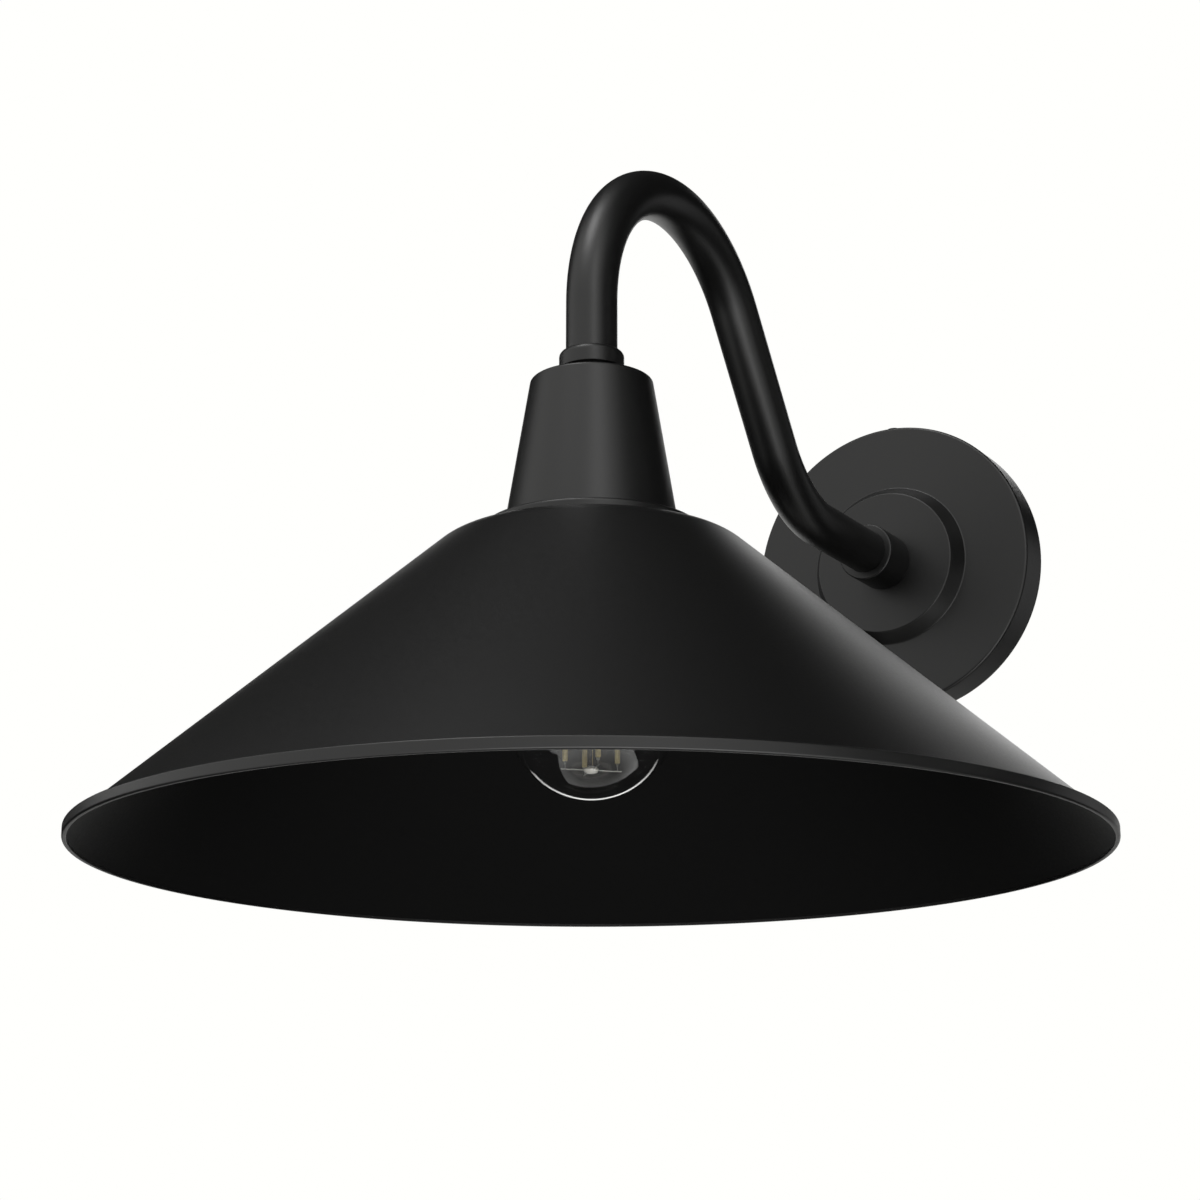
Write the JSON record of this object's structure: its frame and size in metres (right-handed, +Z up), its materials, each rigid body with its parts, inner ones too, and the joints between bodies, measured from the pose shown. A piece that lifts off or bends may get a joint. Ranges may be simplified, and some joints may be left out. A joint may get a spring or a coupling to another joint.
{
  "type": "outdoor wall light",
  "caption": "Gooseneck outdoor wall light: a spun conical shade hangs from a bent tube arm on a round wall plate, with a lampholder and a screw-in filament bulb.",
  "frame": {"origin": "on the wall, at the centre of the wall plate and of the two slots of its mounting bar, in line with the arm's stub", "axes": "+Y into the wall, -Y out along the arm's stub to the shade, +Z up, +X to the right as seen from the room"},
  "size_m": [0.3619, 0.466, 0.2789],
  "materials": {
    "powder_coat": "fine-textured matte black powder coat",
    "black_screw": "black oxide on steel",
    "gasket_foam": "closed-cell rubber foam",
    "rubber_seal": "moulded rubber",
    "zinc_steel": "bright zinc plate on steel",
    "tinned_copper": "tinned copper",
    "earth_green": "green-dyed zinc plate",
    "lead_black": "silicone rubber insulation",
    "lead_white": "silicone rubber insulation",
    "lead_green": "silicone rubber insulation",
    "connector_nylon": "moulded nylon",
    "porcelain": "white glaze",
    "brass": "rolled brass",
    "bulb_glass": "clear blown glass",
    "stem_glass": "clear pressed glass",
    "bead_glass": "clear glass bead",
    "cap_nickel": "nickel plate on thin aluminium",
    "cap_insulator_glass": "black vitrified glass",
    "solder": "solder on brass",
    "circuit_board": "glass-fibre board with parts",
    "filament_phosphor": "yellow phosphor in silicone",
    "filament_wire": "nickel wire"
  },
  "bodies": {
    "fixture": {"wall_plate": "powder_coat", "wall_gasket": "gasket_foam", "mounting_bar": "zinc_steel", "plate_screws": "black_screw", "earth_screw": "earth_green", "earth_tags": "tinned_copper", "arm_hub": "powder_coat", "hub_set_screw": "black_screw", "hub_lock_washer": "zinc_steel", "hub_locknut": "zinc_steel", "gooseneck_tube": "powder_coat", "arm_collar": "powder_coat", "collar_washer": "rubber_seal", "threaded_nipple": "zinc_steel", "nipple_washer": "zinc_steel", "nipple_nut": "zinc_steel", "lead_live": "lead_black", "lead_neutral": "lead_white", "lead_earth": "lead_green", "wire_connectors": "connector_nylon", "socket_cup": "powder_coat", "shade_seal": "rubber_seal", "shade": "powder_coat", "shade_screws": "black_screw", "lampholder_strap": "zinc_steel", "strap_screws": "zinc_steel", "lampholder_body": "porcelain", "screw_shell": "brass", "centre_contact": "brass", "terminal_plates": "brass", "terminal_screws": "brass"},
    "bulb": {"bulb_glass": "bulb_glass", "bulb_cap": "cap_nickel", "cap_insulator": "cap_insulator_glass", "cap_contact": "solder", "bulb_driver": "circuit_board", "bulb_stem": "stem_glass", "stem_bead": "bead_glass", "filaments": "filament_phosphor", "filament_wires": "filament_wire"}
  },
  "joints": [
    {"name": "bulb_release", "type": "slide", "parent": "fixture", "child": "bulb", "axis": [0, 0, -1], "range_m": [0, 0.135]}
  ]
}
